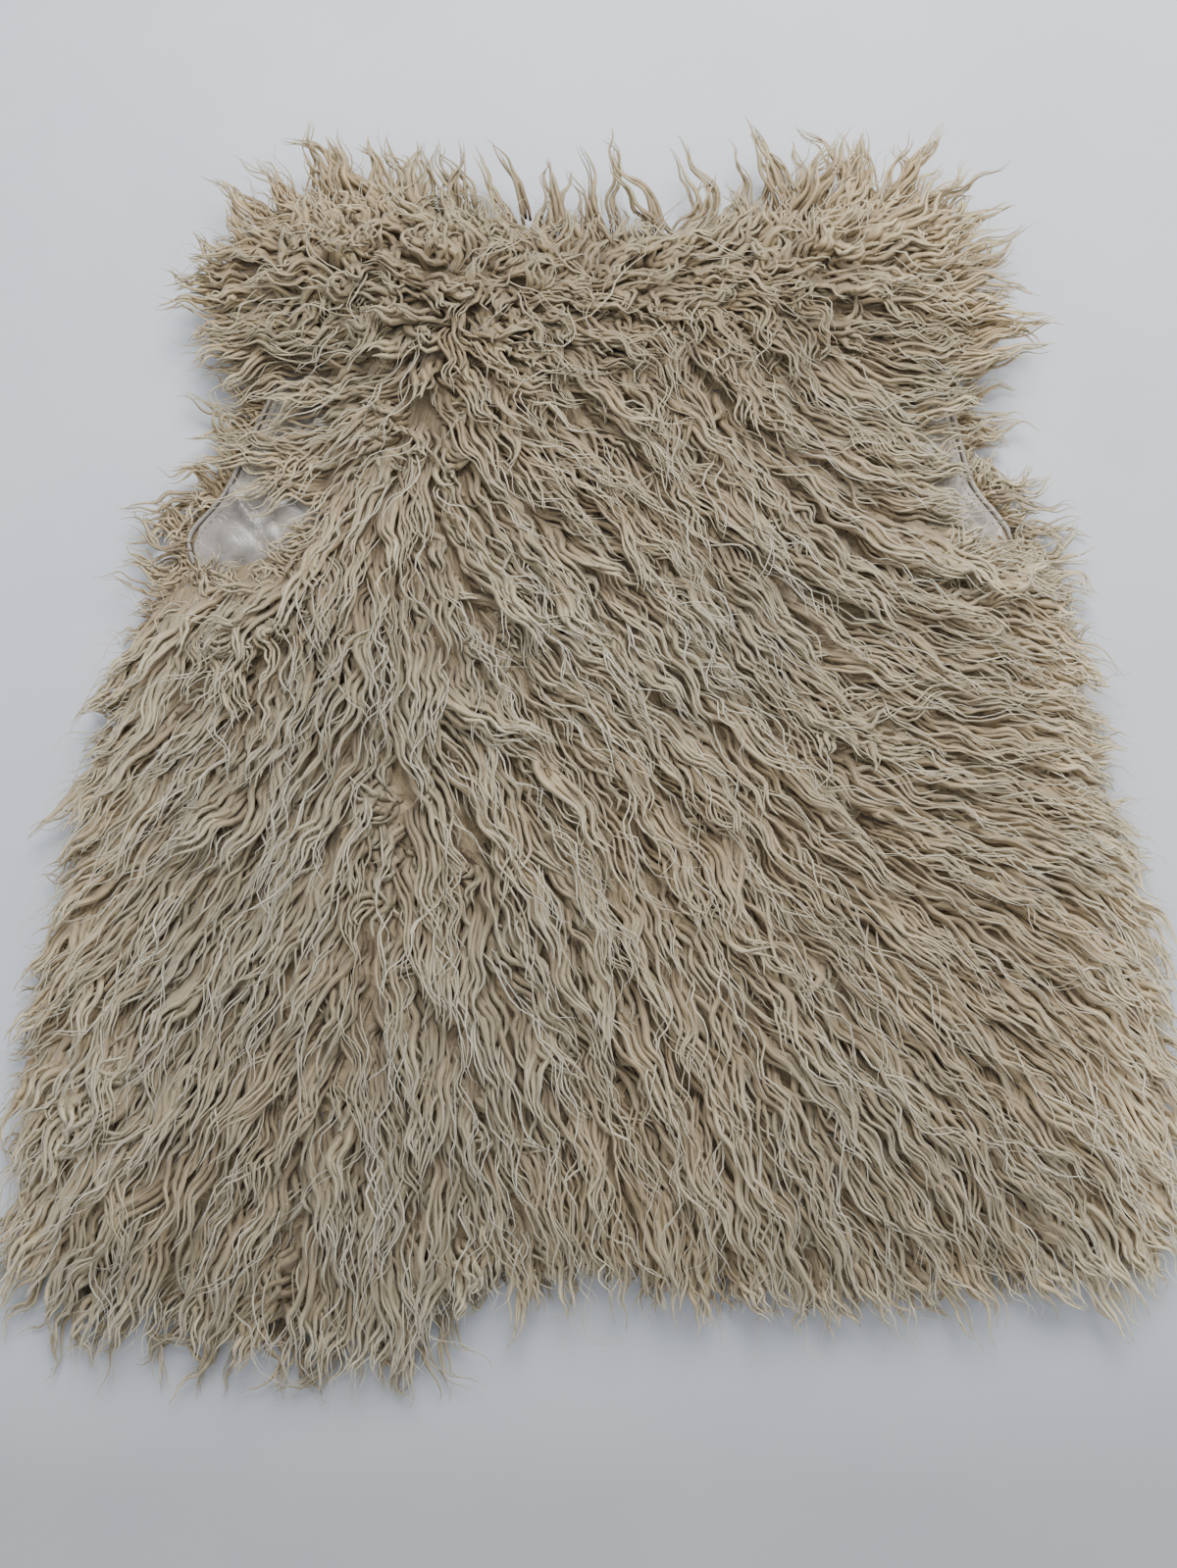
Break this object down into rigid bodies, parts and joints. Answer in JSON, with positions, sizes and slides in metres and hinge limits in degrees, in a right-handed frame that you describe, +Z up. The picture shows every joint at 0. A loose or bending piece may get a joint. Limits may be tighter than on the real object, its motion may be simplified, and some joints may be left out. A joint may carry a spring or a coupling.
{
  "type": "faux fur vest",
  "caption": "Sleeveless hip-length vest of long curly cream faux fur, laid flat with the back panel up and the satin lining of its fronts showing in the armholes.",
  "frame": {"origin": "middle of the footprint, on the surface that the vest lies on", "axes": "+Y toward the neck, +X to the right with the back panel up, +Z up from the surface"},
  "size_m": [0.6164, 0.6977, 0.0563],
  "materials": {
    "fur": "long curly pile, soft sheen",
    "pressed_fur": "long pile pressed flat",
    "satin": "glossy satin weave",
    "locks": "long curly pile, soft sheen"
  },
  "bodies": {
    "root": {"back": "fur", "front_left": "pressed_fur", "front_right": "pressed_fur", "lining_left": "satin", "lining_right": "satin", "armhole_edge_left": "satin", "armhole_edge_right": "satin", "hem_locks": "locks", "side_locks_left": "locks", "side_locks_right": "locks", "shoulder_locks_left": "locks", "shoulder_locks_right": "locks", "neck_locks": "locks", "armhole_locks_left": "locks", "armhole_locks_right": "locks"}
  },
  "joints": []
}
